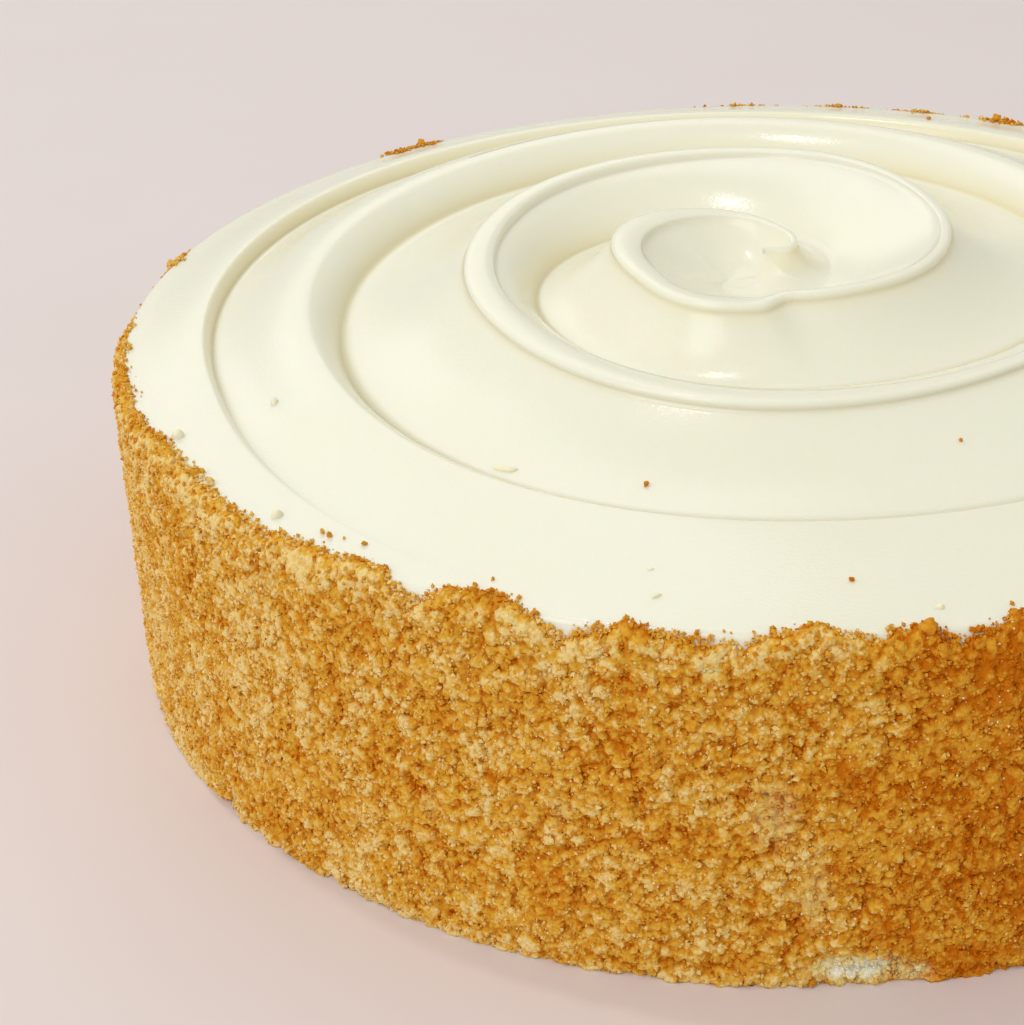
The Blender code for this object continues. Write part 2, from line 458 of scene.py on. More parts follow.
def ridge_rows(turns):
    """Radius, height and share of the drift for every point of every row, as arrays of rows by columns."""
    lip_turns = turns + 1
    outer_radius, outer_height = smooth_through(GROOVE, 1, turns), smooth_through(GROOVE, 2, turns)
    inner_radius, inner_height = smooth_through(GROOVE, 1, lip_turns), smooth_through(GROOVE, 2, lip_turns)
    before = lip_turns <= LIP[0][0]
    lip_radius = np.where(before, inner_radius, smooth_through(LIP, 1, lip_turns))
    lip_height = np.where(before, inner_height, smooth_through(LIP, 2, lip_turns))
    lip_radius = np.clip(lip_radius, inner_radius, outer_radius)
    lip_drop = tip_drop(lip_turns, lip_height)
    soft, hollow, bowl = keyed(SOFT, lip_turns), keyed(HOLLOW, lip_turns), keyed(BOWL, lip_turns)
    inside_power = keyed(INSIDE, lip_turns)
    nose = np.clip(NOSE_SHARE * (lip_height - outer_height), 0.0, NOSE_MOST) * (1 - soft)
    nose = np.minimum(nose, 0.25 * (outer_radius - lip_radius)) * between(lip_turns, NOSE_ENDS, NOSE_FADES)
    top = np.minimum(smooth_through(LIP, 3, lip_turns), 0.5 * (lip_radius - inner_radius))
    drop = np.minimum(smooth_through(LIP, 4, lip_turns), 0.3 * (lip_height - inner_height))
    columns = []

    def add(radius, height, share):
        columns.append((radius, height, np.broadcast_to(share, radius.shape)))

    middle_radius, middle_height = lip_radius - nose, lip_height - nose
    foot_radius = middle_radius + nose * math.cos(NOSE_LEAN)
    foot_height = middle_height + nose * math.sin(NOSE_LEAN)
    for step in range(RISE_STEPS):
        share = (step / RISE_STEPS) ** RISE_EASE
        risen = (1 - soft) * share**hollow + soft * eased(share)
        height = outer_height + (foot_height + lip_drop * (1 - share**2) - outer_height) * risen
        add(outer_radius + (foot_radius - outer_radius) * share, height, share)
    for step in range(NOSE_STEPS + 1):
        angle = NOSE_LEAN + (math.radians(90) - NOSE_LEAN) * step / NOSE_STEPS
        add(middle_radius + nose * math.cos(angle), middle_height + nose * math.sin(angle), 1.0)
    sag = TOP_SAG * top * (1 - soft)
    shoulder = np.maximum(middle_radius - top, inner_radius)
    for step in range(1, TOP_STEPS + 1):
        share = step / TOP_STEPS
        add(middle_radius + (shoulder - middle_radius) * share, lip_height - sag * share**2, 1.0)
    shoulder_height = lip_height - sag
    inside = np.minimum(0.35 * drop, 0.3 * (shoulder - inner_radius))
    for step in range(1, SHOULDER_STEPS + 1):
        turn = math.radians(90) * step / SHOULDER_STEPS
        add(shoulder - inside * math.sin(turn), shoulder_height - drop * (1 - math.cos(turn)), 1.0)
    shoulder, shoulder_height = shoulder - inside, shoulder_height - drop
    for step in range(1, FALL_STEPS + 1):
        share = 1 - (1 - step / FALL_STEPS) ** FALL_EASE
        left = bowl * (1 - share) ** inside_power + (1 - bowl) * (1 - share**2)
        height = inner_height + (shoulder_height - inner_height) * left
        add(shoulder + (inner_radius - shoulder) * share, height, 1.0)
    return (np.stack([column[part] for column in columns], axis=1) for part in range(3))


def drift(turns):
    """How far the spiral's centre has moved from the cake's, from 0 to 1."""
    return eased(between(turns, DRIFT_START, DRIFT_END))


print(f"one row has {RISE_STEPS + NOSE_STEPS + TOP_STEPS + SHOULDER_STEPS + FALL_STEPS + 1} points")

# %% Wrap a grid round the spiral
STEPS_PER_TURN = 340
TIP, TIP_MOVE, TIP_REACH = np.array((-0.2, -2.0)), np.array((0.0, 1.4)), 2.6
first_turn, last_turn = GROOVE[0][0] - 1, GROOVE[-1][0]
row_count = round((last_turn - first_turn) * STEPS_PER_TURN) + 1
row_turns = np.linspace(first_turn, last_turn, row_count)
radii, heights, shares = ridge_rows(row_turns)
column_count = radii.shape[1]

cream = start(
    "swirled_cream",
    bpy.ops.mesh.primitive_grid_add,
    x_subdivisions=column_count - 1,
    y_subdivisions=row_count - 1,
    size=1,
)
grid = points_of(cream)
column = np.rint((grid[:, 0] + 0.5) * (column_count - 1)).astype(int)
row = np.rint((grid[:, 1] + 0.5) * (row_count - 1)).astype(int)
turn_here = row_turns[row]
angles = START_ANGLE - math.tau * turn_here
outer_drift, inner_drift = drift(turn_here), drift(turn_here + 1)
moved = outer_drift + (inner_drift - outer_drift) * shares[row, column]
radius = radii[row, column]
wrapped = np.stack(
    [
        SWIRL_CENTRE[0] * moved + radius * np.cos(angles),
        SWIRL_CENTRE[1] * moved + radius * np.sin(angles),
        RIM_HEIGHT + heights[row, column],
    ],
    axis=1,
)
near_tip = np.exp(-(np.linalg.norm(wrapped[:, :2] - TIP, axis=1) ** 2) / TIP_REACH**2)
wrapped[:, :2] += near_tip[:, None] * TIP_MOVE
move_points(cream, wrapped * MM)
print(f"the grid is {row_count} rows of {column_count} points")

# %% [markdown]
# ## Painted shade in the folds
# Where cream faces cream across a narrow gap, the gap lies in shade and light goes from one wall to the
# other and turns yellow. A shader can't tell how narrow a gap is, so each point of the strip notes a value
# that paints this shade and yellow bounced light into the cream's colour: it is strongest in the groove,
# fades quickly on the slope outside and slowly on the wall inside, and there is more of it under a lip that
# leans over, as painted shade. Then the turns are joined to each other, and the tip of the curl, where many
# rows crowd together, is smoothed.

# %% Note the folds
LIP_COLUMN = RISE_STEPS + NOSE_STEPS
WALL_FADE, SLOPE_FADE = 1.5, 0.4
DEEP_GROOVE = 2.0
FOLDS_FADE, FOLDS_END = 2.25, 2.5
LIP_FADE, LIP_FADE_MIDDLE = 1.2, 3.0
TALL_SLOPE = 4.0
UNDER_LIP_SHADE, UNDER_HOOK_SHADE = 0.5, 0.7

on_slope, on_wall = column <= RISE_STEPS, column > LIP_COLUMN
lip_above_groove = np.clip((heights[:, LIP_COLUMN] - heights[:, -1]) / DEEP_GROOVE, 0, 1)
# painted shade and yellow bounced light: strongest in the groove, fading up the wall inside and the slope outside
painted_fold_shade = np.exp((radii[row, -1] - radii[row, column]) / WALL_FADE) * lip_above_groove[row] * on_wall
turn_outside = lip_above_groove[np.maximum(row - STEPS_PER_TURN, 0)] * (row >= STEPS_PER_TURN)
painted_fold_shade += np.exp((radii[row, column] - radii[row, 0]) / SLOPE_FADE) * turn_outside * on_slope
painted_fold_shade *= between(turn_here + on_wall, FOLDS_END, FOLDS_FADE)

lip_fade = LIP_FADE + (LIP_FADE_MIDDLE - LIP_FADE) * between(turn_here, 2.3, 2.5)
under_lip = np.exp(-np.maximum((radii[row, column] - radii[row, RISE_STEPS]) / lip_fade, 0))
overhang = np.clip((heights[row, RISE_STEPS] - heights[row, 0]) / TALL_SLOPE - 0.5, 0, 1)
under_hook = between(turn_here, 2.35, 2.5) * between(turn_here, 2.75, 2.65)
# painted shade under a lip that leans over, and more under the hook of the curl
painted_fold_shade += (UNDER_LIP_SHADE + UNDER_HOOK_SHADE * under_hook) * under_lip * overhang * on_slope
cream.data.attributes.new("painted_fold_shade", "FLOAT", "POINT").data.foreach_set("value", painted_fold_shade)
print(f"{np.count_nonzero(painted_fold_shade > 0.5)} of {len(painted_fold_shade)} points lie in a fold")

# %% Join the turns
TIP_HEIGHT, TIP_TOP = 7.0, 8.0
tip = Vector((*(TIP + TIP_MOVE), RIM_HEIGHT + TIP_HEIGHT)) * MM


def below_tip(point):
    return (point.co - tip).length < TIP_REACH * MM and point.co.z < (RIM_HEIGHT + TIP_TOP) * MM


edit(cream)
bpy.ops.mesh.select_all(action="SELECT")
bpy.ops.mesh.remove_doubles(threshold=0.004 * MM)
pick(cream, below_tip)
bpy.ops.mesh.vertices_smooth(factor=0.5, repeat=2)
done()
print(f"the top is {triangles(cream)} triangles")

# %% [markdown]
# ## Over the edge and down
# The spiral's outline is the rim of the cake. From there the cream is the same smooth coat all the way
# down, so the outline is extruded: a few short steps that widen round the edge, a small step inwards where
# the crumbs will hide it, then straight down the wall to the table. A flat face closes the base.

# %% Rim, wall and base
EDGE_STEPS = 6
EDGE_DEPTH = 2.4
UNDER_CRUST = WALL_RADIUS - 1.5
UNDER_CRUST_TOP = RIM_HEIGHT - 6


def edge_profile(step):
    """(radius, height) down the rounded edge, as a quarter of an ellipse."""
    turn = math.radians(90) * step / EDGE_STEPS
    radius = EDGE_RADIUS + (WALL_RADIUS - EDGE_RADIUS) * math.sin(turn)
    return radius, RIM_HEIGHT - EDGE_DEPTH * (1 - math.cos(turn))


levels = [edge_profile(step) for step in range(EDGE_STEPS + 1)]
levels += [(UNDER_CRUST, UNDER_CRUST_TOP), (UNDER_CRUST, 0.0)]
edit(cream, "EDGE")
pick(cream, lambda edge: edge.is_boundary)
for (above_radius, above_height), (below_radius, below_height) in zip(levels, levels[1:]):
    bpy.ops.mesh.extrude_region_move(TRANSFORM_OT_translate={"value": (0, 0, (below_height - above_height) * MM)})
    grow = below_radius / above_radius
    bpy.ops.transform.resize(value=(grow, grow, 1), center_override=(0, 0, 0))
bpy.ops.mesh.edge_face_add()
done()
face_outwards(cream)
print(f"closed to the base: {triangles(cream)} triangles, top at {points_of(cream)[:, 2].max() / MM:.1f} mm")

# %% [markdown]
# ## Cream
# Set cream cheese is dense and faintly see-through: light that enters a thin lip comes out a little way
# off, which is why the ridges look soft. That is subsurface scattering with a reach of a few millimetres.
# In a narrow fold and under a leaning lip the cream is painted darker and yellower, as painted shade and
# bounced light, where the points of the strip note it, and where crumbs lie on it the cream is painted
# yellower still, as warm light bounced from the crumbs. Its surface is smooth and moist, with the finest
# ripple from the knife, which breaks a highlight into sparks.

# %% Cream material
IVORY = (0.935, 0.895, 0.755)
DEEPER_IVORY = (0.93, 0.885, 0.735)
PAINTED_FOLD_SHADE = (0.87, 0.78, 0.51)
PAINTED_CRUMB_BOUNCE = (0.93, 0.72, 0.36)

ivory = Finish("ivory_cream")
cloudy = ivory.speckle(30, detail=2)
ripple = ivory.speckle(0.55, detail=2, roughness=0.6)
in_the_open = cloudy.between(0.3, 0.7).tint(IVORY, DEEPER_IVORY)
# the folds are painted darker and yellower: painted shade and bounced light
clean = ivory.noted("painted_fold_shade").between(0.1, 1.0).tint(in_the_open, PAINTED_FOLD_SHADE)
# where crumbs lie the base colour is painted warm yellow: painted light bounced from the crumbs
ivory.set(
    Base_Color=ivory.noted("crumb_bounce_light").between(0, 1).tint(clean, PAINTED_CRUMB_BOUNCE),
    Roughness=0.13 + ripple * 0.1,
    Normal=ivory.bump(ripple, 0.035),
    Subsurface_Weight=0.5,
    Subsurface_Radius=(1.0, 0.8, 0.6),
    Subsurface_Scale=2.0 * MM,
    IOR=1.45,
)
settle(cream, ivory.material, node="cream_cake", slot="cream")

# %% [markdown]
# ## Table
# The cake stands on a pale, faintly pink table. It is only a stage, so a broad mottle and a matt surface are
# enough, but a perfectly even floor would make the cake look cut out.

# %% Table finish
PINK, DEEPER_PINK = (0.83, 0.735, 0.74), (0.80, 0.70, 0.70)

table = Finish("pale_table")
mottle = table.speckle(60, detail=3)
table.set(
    Base_Color=mottle.tint(PINK, DEEPER_PINK),
    Roughness=0.75 + mottle * 0.1,
    Normal=table.bump(mottle, 0.3),
)
floor.data.materials.append(table.material)
print(f"{floor.name}: {table.material.name}")

# %% [markdown]
# ## The coat as a sheet
# Toasted crumbs are pressed on by the handful until they cover the side, and some climb over the edge. The
# coat follows the cream's outline, so a place on it is told by a bearing round the cake and a distance
# along that outline: up the wall, round the edge, then inwards over the top. One function turns that
# distance into a radius, a height and the direction straight out, and everything in the coat uses it.

# %% Along the outline
BEND_START = RIM_HEIGHT - EDGE_DEPTH
bend = np.array([edge_profile(step / 10) for step in range(10 * EDGE_STEPS, -1, -1)])
BEND_LENGTH = float(np.hypot(*np.diff(bend, axis=0).T).sum())


def outline(along):
    """Radius, height, and the outward direction's two parts, for distances up the wall and over the edge."""
    turn = np.clip((along - BEND_START) / BEND_LENGTH, 0, 1) * math.radians(90)
    inwards = np.maximum(along - BEND_START - BEND_LENGTH, 0)
    radius = EDGE_RADIUS + (WALL_RADIUS - EDGE_RADIUS) * np.cos(turn) - inwards
    height = np.minimum(along, BEND_START) + EDGE_DEPTH * np.sin(turn)
    return radius, height, np.cos(turn), np.sin(turn)


def on_cake(bearing, along, out):
    """Points at these bearings in degrees, this far along the outline and this far out from the cream."""
    radius, height, level, rise = outline(along)
    radius = radius + level * out
    angle = np.radians(bearing)
    return np.stack([radius * np.cos(angle), radius * np.sin(angle), height + rise * out], axis=-1)


print(f"the edge starts {BEND_START:.1f} mm up and is {BEND_LENGTH:.1f} mm round")

# %% [markdown]
# ## The ragged edge and the thin patches
# A hand leaves its own rhythm: tongues of crumbs every couple of centimetres, with bays between them where
# the cream shows. The bearings and reaches below set that rhythm, and noise breaks up each tongue. Here and
# there the coat is so thin that the cream looks through, so a few patches are pushed back under it.

# %% Edge and patches
# (bearing in degrees, reach along the outline in mm)
REACH = (
    (0, 50.6), (12, 49.4), (24, 51.2), (36, 49.6), (50, 49.0), (64, 50.9), (68, 48.8), (73, 50.6), (77, 48.7),
    (82, 50.2), (88, 48.6), (93, 50.3), (98, 47.8), (126, 47.6), (130, 50.7), (134, 50.9), (138, 47.4),
    (165, 47.2), (171, 51.0), (174, 47.8), (182, 47.4), (185, 49.4), (192, 49.8), (200, 50.6), (208, 50.9),
    (215, 52.3), (220, 51.4), (226, 50.7), (231, 50.0), (235, 51.2), (239, 51.3), (242, 51.8), (245, 48.8),
    (248, 51.0), (250.5, 52.8), (254, 51.0), (257, 48.3), (261, 50.9), (264.5, 49.3), (269, 49.0), (272, 51.2),
    (274.5, 51.4), (278, 49.4), (281, 51.1), (284, 49.2), (287, 50.6), (293, 51.6), (299, 49.3), (306, 51.0),
    (315, 49.8), (324, 51.8), (335, 49.4), (347, 51.6), (360, 50.6),
)
# (bearing, distance along the outline, width and height in mm, depth)
PATCHES = (
    (277.8, 2.6, 5.2, 2.0, 1.6),
    (271.5, 26, 4.0, 7, 0.45),
    (274.5, 14, 3.0, 7, 0.42),
    (259.6, 47.0, 1.0, 0.7, 0.8),
    (267.0, 46.4, 1.3, 0.8, 0.9),
    (245.0, 47.5, 1.2, 1.0, 0.6),
    (255.6, 43.5, 1.2, 1.6, 0.6),
    (256.5, 24, 2, 3, 0.4),
    (246.0, 20, 2, 3, 0.4),
    (281.5, 1.5, 3, 1.5, 0.9),
    (220.0, 15, 2, 2, 0.5),
    (300.0, 30, 3, 3, 0.5),
    (20.0, 12, 5, 3, 0.55),
    (75.0, 34, 3, 5, 0.5),
    (118.0, 3, 5, 2, 1.0),
    (150.0, 26, 3, 4, 0.5),
    (340.0, 40, 3, 3, 0.5),
)


def blotches(points, size, seed):
    """Smooth noise from about -1 to 1 at these points, for blotches about this many millimetres across."""
    shift = Vector((seed * 17.3, seed * 5.1, seed * 29.7))
    return np.array([noise.noise(Vector(point) / size + shift) for point in points])


def reach(bearing):
    """How far along the outline the coat comes at these bearings, with tatters of two sizes."""
    ring = np.arange(0, 360, 0.25)
    spots = on_cake(ring, np.full(ring.shape, 50.0), 0.0)
    edge = keyed(REACH, ring) + 0.9 * blotches(spots, 3.0, 1) + 0.7 * blotches(spots, 1.3, 2)
    return np.interp(bearing % 360, np.append(ring, 360), np.append(edge, edge[0]))


def bareness(bearing, along):
    """0 where the coat is whole, up to the depth of a patch."""
    bare = np.zeros(np.broadcast(bearing, along).shape)
    for centre, height, width, tall, depth in PATCHES:
        sideways = np.radians((bearing - centre + 180) % 360 - 180) * WALL_RADIUS / width
        bare = np.maximum(bare, depth * np.exp(-(sideways**2) - ((along - height) / tall) ** 2))
    return bare


print(f"{len(REACH)} reaches and {len(PATCHES)} thin patches")

# %% [markdown]
# ## Where crumbs light the cream
# Light that bounces off the golden crumbs falls warm on the cream between them, so there the cream is
# painted a warm yellow and not the ivory of the top: painted bounced light. The cream's finish already
# reads this value: here its points get it, whole under the coat and fading out just inside its edge.

# %% Painted bounced light from the crumbs
BOUNCE_FADE, BOUNCE_END = 1.1, 0.5


def bearing_of(points):
    return np.degrees(np.arctan2(points[:, 1], points[:, 0])) % 360


cream_points = points_of(cream) / MM
cream_spread = np.hypot(cream_points[:, 0], cream_points[:, 1])
cream_bearing = bearing_of(cream_points)
round_edge = np.arctan2(
    np.maximum(cream_points[:, 2] - BEND_START, 0) / EDGE_DEPTH,
    np.maximum(cream_spread - EDGE_RADIUS, 0) / (WALL_RADIUS - EDGE_RADIUS),
)
cream_along = np.minimum(cream_points[:, 2], BEND_START) + BEND_LENGTH * round_edge / math.radians(90)
cream_along += np.maximum(EDGE_RADIUS - cream_spread, 0)
# painted bounced light from the crumbs, whole under the coat and fading out just inside its edge
crumb_bounce_light = between(reach(cream_bearing) - cream_along, BOUNCE_END, BOUNCE_FADE)
crumb_bounce_light *= np.clip(1.2 - bareness(cream_bearing, cream_along), 0, 1)
cream.data.attributes.new("crumb_bounce_light", "FLOAT", "POINT").data.foreach_set("value", crumb_bounce_light)
print(f"{np.count_nonzero(crumb_bounce_light)} points of the cream lie under crumbs")

# %% [markdown]
# ## The crumb layer
# Crumbs this fine stick together, so most of the coat is one knobbly crust and only its outermost grains
# read as single crumbs. A million loose crumbs would give the same look at many times the weight. So the
# crust is a flat grid wrapped round the cake and pushed out by textures: first handfuls and lumps, where a
# pinch of crumbs went on together, then clusters, grains and grit. A vertex group quietens the relief near
# the upper edge, which dips under the cream, and a band inside the cake closes the crust to a shell.

# %% Crust
CRUST_ROUND, CRUST_UP = 1890, 154
CRUST_THICKNESS = 0.35
CRUST_SINK = 0.5
CRUST_FADE = 1.0
CRUST_BEYOND = 0.6
PATCH_SINK = 0.7

crust = start(
    "crumb_crust",
    bpy.ops.mesh.primitive_grid_add,
    x_subdivisions=CRUST_ROUND,
    y_subdivisions=CRUST_UP,
    size=1,
)
grid = points_of(crust)
crust_bearing = 360 * (grid[:, 0] + 0.5)
crust_reach = reach(crust_bearing)
crust_along = (grid[:, 1] + 0.5) * (crust_reach + CRUST_BEYOND)
whole = np.clip((crust_reach - crust_along) / CRUST_FADE, 0, 1)
crust_out = (CRUST_THICKNESS + CRUST_SINK) * whole - CRUST_SINK - PATCH_SINK * bareness(crust_bearing, crust_along)
move_points(crust, on_cake(crust_bearing, crust_along, crust_out) * MM)
edit(crust)
bpy.ops.mesh.select_all(action="SELECT")
bpy.ops.mesh.remove_doubles(threshold=0.001 * MM)
done()
print(f"{triangles(crust)} triangles")

# %% Relief of the crust
WEIGHT_STEPS = 16
LEAST_RELIEF, EDGE_RELIEF, RELIEF_FADE = 0.25, 0.35, 2.5

crust.vertex_groups.new(name="relief")
crust_points = points_of(crust)
below_edge = reach(bearing_of(crust_points)) - crust_points[:, 2] / MM
weights = np.clip(below_edge / RELIEF_FADE + EDGE_RELIEF, LEAST_RELIEF, 1)
for step in range(1, WEIGHT_STEPS + 1):
    near = np.nonzero(np.rint(weights * WEIGHT_STEPS) == step)[0]
    crust.vertex_groups["relief"].add(near.tolist(), step / WEIGHT_STEPS, "REPLACE")


def relief(name, kind, size, depth, **settings):
    """Push the crust out and in by a texture with features of this size, both in millimetres."""
    texture = bpy.data.textures.new(name, kind)
    texture.noise_scale = size * MM
    for key, value in settings.items():
        setattr(texture, key, value)
    modify(
        crust,
        "DISPLACE",
        texture=texture,
        texture_coords="LOCAL",
        direction="NORMAL",
        strength=depth * MM,
        mid_level=0.5,
        vertex_group="relief",
    )


relief("handfuls", "CLOUDS", 7.0, 1.1)
relief("lumps", "VORONOI", 2.6, -1.1, distance_metric="DISTANCE_SQUARED")
relief("clusters", "CLOUDS", 1.3, 1.0, noise_depth=2)
relief("grains", "VORONOI", 1.0, -0.8, distance_metric="DISTANCE_SQUARED")
relief("grit", "VORONOI", 0.7, -0.6, distance_metric="DISTANCE_SQUARED")

MOST_RADIUS = COAT_RADIUS - 0.15
CRUST_RADIUS = MOST_RADIUS - 0.35
pushed = points_of(crust)
spread = np.hypot(pushed[:, 0], pushed[:, 1])
pushed[:, :2] *= np.minimum(1, CRUST_RADIUS * MM / spread)[:, None]
pushed[:, 2] = np.maximum(pushed[:, 2], 0)
move_points(crust, pushed)
print(f"crust reaches {np.hypot(*pushed[:, :2].T).max() / MM:.2f} mm out")

# %% Close the crust
SHELL_SHARE = 0.975


def lower_edge(edge):
    return edge.is_boundary and edge.verts[0].co.z < 5 * MM


quads_before = len(crust.data.polygons)
edit(crust, "EDGE")
pick(crust, lower_edge)
bpy.ops.mesh.extrude_region_move(TRANSFORM_OT_translate={"value": (0, 0, 0)})
bpy.ops.transform.resize(value=(SHELL_SHARE, SHELL_SHARE, 1), center_override=(0, 0, 0))
pick(crust, lambda edge: edge.is_boundary)
bpy.ops.mesh.bridge_edge_loops()
bpy.ops.mesh.select_all(action="SELECT")
bpy.ops.mesh.quads_convert_to_tris()
done()
face_outwards(crust)
print(f"the closed crust is {triangles(crust)} triangles")

# %% [markdown]
# ## Toasted and pale
# Crumbs of one batch brown unevenly: the outside of each clump is golden, what fell from the middle is
# pale, and a few grains caught and are the colour of caramel. One flat brown would look like clay, so every
# crumb finish mixes these three with noise as fine as a grain, as wide as a pinch and as wide as a handful
# of crumbs. A grain deep in the coat, a seam between grains and the front right of the coat are painted
# browner and darker, as painted shade, and the front left is painted paler, as painted light. A bump finer
# still gives the sugary skin.

# %% Crumb finishes
PALE = (0.95, 0.70, 0.28)
GOLDEN = (0.83, 0.44, 0.04)
TOASTED = (0.66, 0.185, 0.002)
BUTTERY = (0.93, 0.76, 0.30)
SMEARED = (0.98, 0.93, 0.75)
MIDDLE_BROWNING = 1.79


def crumb_finish(name, browning, grain):
    """A finish that is paler below and more toasted above this browning."""
    finish = Finish(name)
    fine = finish.speckle(grain, detail=1)
    wide = finish.speckle(9.0, detail=3, roughness=0.6)
    skin = finish.speckle(0.30, detail=2, roughness=0.7)
    scale = {"Vector": finish.place, "Scale": 1 / (0.6 * MM)}
    cells = finish.node("ShaderNodeTexVoronoi", {"distance": "EUCLIDEAN"}, scale)
    pinch = finish.speckle(2.6, detail=1)
    # cells * 0.5 paints the seams between grains, where the bump dents the skin, browner: painted shade in the
    # dents
    brown = fine * 0.6 + pinch * 0.8 + wide * 1.8 + cells * 0.5 + skin * 0.3
    # painted shade: points deep in the coat are browner; own adds each crumb's own browning and the painted shade
    # of its side
    brown = brown + finish.noted("recess_shade") * 0.65 + finish.noted("own") * 0.8 - (MIDDLE_BROWNING - browning)
    smear = finish.noted("creamy") * (fine + 0.5)
    colour = brown.between(0.0, 0.5).tint(PALE, brown.between(0.5, 1.3).tint(GOLDEN, TOASTED))
    cream_over = smear.between(0.6, 1.1).tint(BUTTERY, SMEARED)
    finish.set(
        Base_Color=smear.between(0.2, 0.7).tint(colour, cream_over),
        Roughness=0.4 + skin * 0.4,
        Normal=finish.bump(skin * 0.5 - cells * 0.9, 0.26),
        IOR=1.4,
        Specular_IOR_Level=0.12,
    )
    return finish.material


# %% Marks on the crumbs
# (bearing in degrees, how much darker and browner the coat is painted there: painted shade on the front
# right, painted light on the front left)
PAINTED_SIDE_SHADE = (
    (0, 0.1), (60, -0.05), (120, 0.1), (180, -0.1), (205, -0.22), (232, -0.16), (258, 0.0), (272, 0.0),
    (278, 0.25), (286, 0.65), (306, 0.75), (330, 0.1), (360, 0.1),
)


def smoothed(piece, values, times):
    """These values of a mesh's points, each averaged with its neighbours this many times over."""
    first, second = np.array([edge.vertices[:] for edge in piece.data.edges]).T
    count = len(values)
    neighbours = np.bincount(first, minlength=count) + np.bincount(second, minlength=count) + 1
    for _ in range(times):
        total = values + np.bincount(first, values[second], count) + np.bincount(second, values[first], count)
        values = total / neighbours
    return values


def mark(piece, own=0.0):
    """Note on every point how creamy it is there, how much painted shade it gets for lying deep in the coat, and
    its crumb's own browning with the painted shade or light of its side of the cake.
    """
    points = points_of(piece) / MM
    bearing = bearing_of(points)
    # painted shade on the front right side of the coat and painted light on the front left
    own = own + keyed(PAINTED_SIDE_SHADE, bearing)
    creamy = bareness(bearing, np.minimum(points[:, 2], RIM_HEIGHT))
    stands = np.hypot(points[:, 0], points[:, 1]) - WALL_RADIUS
    # painted shade: the crust is browner and darker in its hollows, by how far a point lies below its neighbours
    if piece.name == "crumb_crust":
        near = np.clip((smoothed(piece, stands, 8) - stands) / 0.3, -1, 1)
        wide = np.clip((smoothed(piece, stands, 60) - stands) / 0.8, -1, 1)
        recess_shade = near * 0.5 + wide * 0.5
    else:
        creamy = creamy * 0.7
        # painted shade: a crumb close to the cream is browner and darker, less so near the upper edge
        recess_shade = np.clip(0.5 - stands / 1.3, -0.5, 1.0) * np.clip((BEND_START + 1 - points[:, 2]) / 4, 0, 1)
    for name, values in (("creamy", creamy), ("recess_shade", recess_shade), ("own", own)):
        piece.data.attributes.new(name, "FLOAT", "POINT").data.foreach_set("value", values)


mark(crust)
crust_finish = crumb_finish("crumb_crust", 0.52, 1.3)
corners_of_crust = points_of(crust)[faces_of(crust)] / MM

# Extruding gives the faces of the lowest ring in another order each time. Random places are drawn from
# this list of faces, so the ring is put in order of place, or some crumbs would lie elsewhere each time.
ring = quads_before + np.arange(CRUST_ROUND)
for halves in (ring, ring + len(corners_of_crust) // 2):
    corners = corners_of_crust[halves]
    first = (corners[:, :, 0] + 0.5 * corners[:, :, 1]).argmin(axis=1)
    corners = corners[np.arange(CRUST_ROUND)[:, None], (first[:, None] + np.arange(3)) % 3]
    corners_of_crust[halves] = corners[np.lexsort(corners.mean(axis=1).T)]
print(f"marked {len(crust.data.vertices)} points of the crust")

# %% [markdown]
# ## In thirds
# A mesh as fine as this one is too heavy as a single piece, so the crust is cut like the cake itself: two
# upright cuts through the middle leave a wedge, and each cut is filled, so every third is a closed solid.

# %% Cut the crust
THIRDS = ("right", "left", "front")
for index, side in enumerate(THIRDS):
    third = bpy.data.objects.new(f"crumb_crust_{side}", crust.data.copy())
    scene.collection.objects.link(third)
    for cut, keep in ((120 * index - 30, 1), (120 * index + 90, -1)):
        angle = math.radians(cut)
        edit(third)
        bpy.ops.mesh.select_all(action="SELECT")
        bpy.ops.mesh.bisect(
            plane_co=(0, 0, 0),
            plane_no=(-keep * math.sin(angle), keep * math.cos(angle), 0),
            use_fill=True,
            clear_inner=True,
        )
        bpy.ops.mesh.select_all(action="SELECT")
        bpy.ops.mesh.quads_convert_to_tris()
        done()
    replaced = {"node": "crumb_coat"} if index == 0 else {}
    settle(third, crust_finish, slot="crumb", **replaced)
bpy.data.objects.remove(crust)

# %% [markdown]
# ## Single crumbs
# On top of the crust lie the crumbs that can be told apart. Each kind starts from a small ball, or for a
# grain under a millimetre from a four-sided cone with the middle of its base pulled down. That is pulled
# out of shape a few times over, and copies are turned, sized and joined into one mesh. A particle system
# could scatter them too, but loose arrays of numbers place tens of thousands in a moment.


# %% Shapes of a crumb
CONE = {"vertices": 4, "radius1": 0.5, "depth": 0.5, "end_fill_type": "TRIFAN"}


def lumps(count, roundness, seed):
    """Points of some misshapen little lumps one unit across, and the faces they share."""
    made = []
    draw = np.random.default_rng(seed)
    for _ in range(count):
        if roundness:
            lump = start("lump", bpy.ops.mesh.primitive_ico_sphere_add, subdivisions=roundness, radius=0.5)
            points = points_of(lump)
        else:
            lump = start("lump", bpy.ops.mesh.primitive_cone_add, **CONE)
            points = points_of(lump) + np.array((0, 0, CONE["depth"] / 2))
            points[np.linalg.norm(points, axis=1) < 0.1, 2] = -CONE["depth"]
        points *= draw.uniform(0.68, 1.3, size=(len(points), 1))
        points *= draw.uniform(0.75, 1.15, size=3)
        faces = faces_of(lump)
        bpy.data.objects.remove(lump)
        made.append(points)
    return np.array(made), faces


